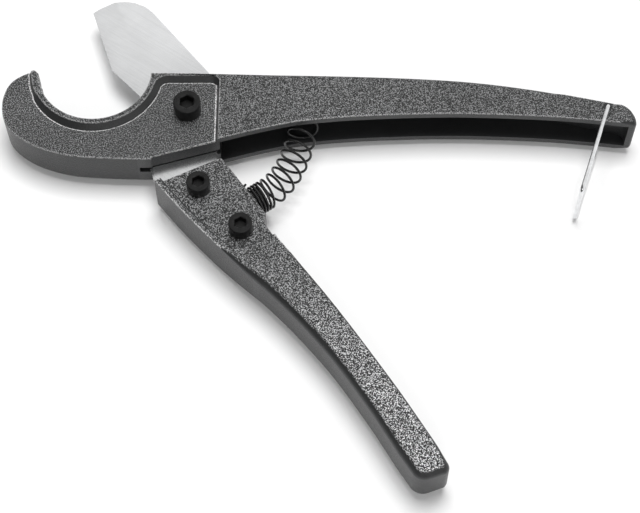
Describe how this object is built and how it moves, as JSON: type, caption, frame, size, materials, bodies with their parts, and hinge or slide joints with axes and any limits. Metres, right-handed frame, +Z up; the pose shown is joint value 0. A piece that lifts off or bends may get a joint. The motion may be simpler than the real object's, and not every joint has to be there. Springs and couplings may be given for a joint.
{
  "type": "pipe cutter",
  "caption": "One-stroke plastic pipe cutter with a hooked jaw, a swinging blade, hollow spring-loaded handles and a wire latch.",
  "frame": {"origin": "middle of the tool's length and width, level with the lowest point it rests on, with the handles open as at rest", "axes": "+Z up, along the pivot screw towards its head; +X along the fixed handle towards its end; +Y towards the open side of the jaw"},
  "size_m": [0.2338, 0.197, 0.026],
  "materials": {
    "frame_paint": "dark grey hammered powder coat on a zinc-aluminium die casting",
    "handle_paint": "dark grey hammered powder coat on a zinc-aluminium die casting",
    "blade_steel": "fine ground and polished tool steel",
    "black_screw": "black oxide on alloy steel",
    "bush_bronze": "sintered bronze",
    "zinc_plate": "zinc plated steel",
    "nut_nylon": "nylon",
    "spring_wire": "black spring steel wire",
    "latch_wire": "bright nickel plated wire"
  },
  "bodies": {
    "frame": {"hook_body": "frame_paint", "pivot_screw": "black_screw", "pivot_bush": "bush_bronze", "thrust_washer_upper": "bush_bronze", "thrust_washer_lower": "bush_bronze", "pivot_washer": "zinc_plate", "pivot_nut": "zinc_plate", "pivot_nut_insert": "nut_nylon"},
    "handle": {"lower_handle": "handle_paint", "blade": "blade_steel", "blade_screw_front": "black_screw", "blade_screw_rear": "black_screw", "blade_nut_front": "zinc_plate", "blade_nut_rear": "zinc_plate", "blade_nut_insert_front": "nut_nylon", "blade_nut_insert_rear": "nut_nylon", "return_spring": "spring_wire"},
    "latch": {"latch_bail": "latch_wire"}
  },
  "joints": [
    {"name": "handle_swing", "type": "hinge", "parent": "frame", "child": "handle", "pos_m": [-0.04814, 0.045, 0.01235], "axis": [0, 0, 1], "range_deg": [-8, 54], "stiffness_Nm_per_rad": 2.4, "deforming": ["return_spring"]},
    {"name": "latch_swing", "type": "hinge", "parent": "frame", "child": "latch", "pos_m": [0.10656, 0.0454, 0.01235], "axis": [0, 0, 1], "range_deg": [-60, 265]}
  ],
  "couplings": [
    {"joint": "latch_swing", "follows": "handle_swing", "ratio": 0.85}
  ]
}
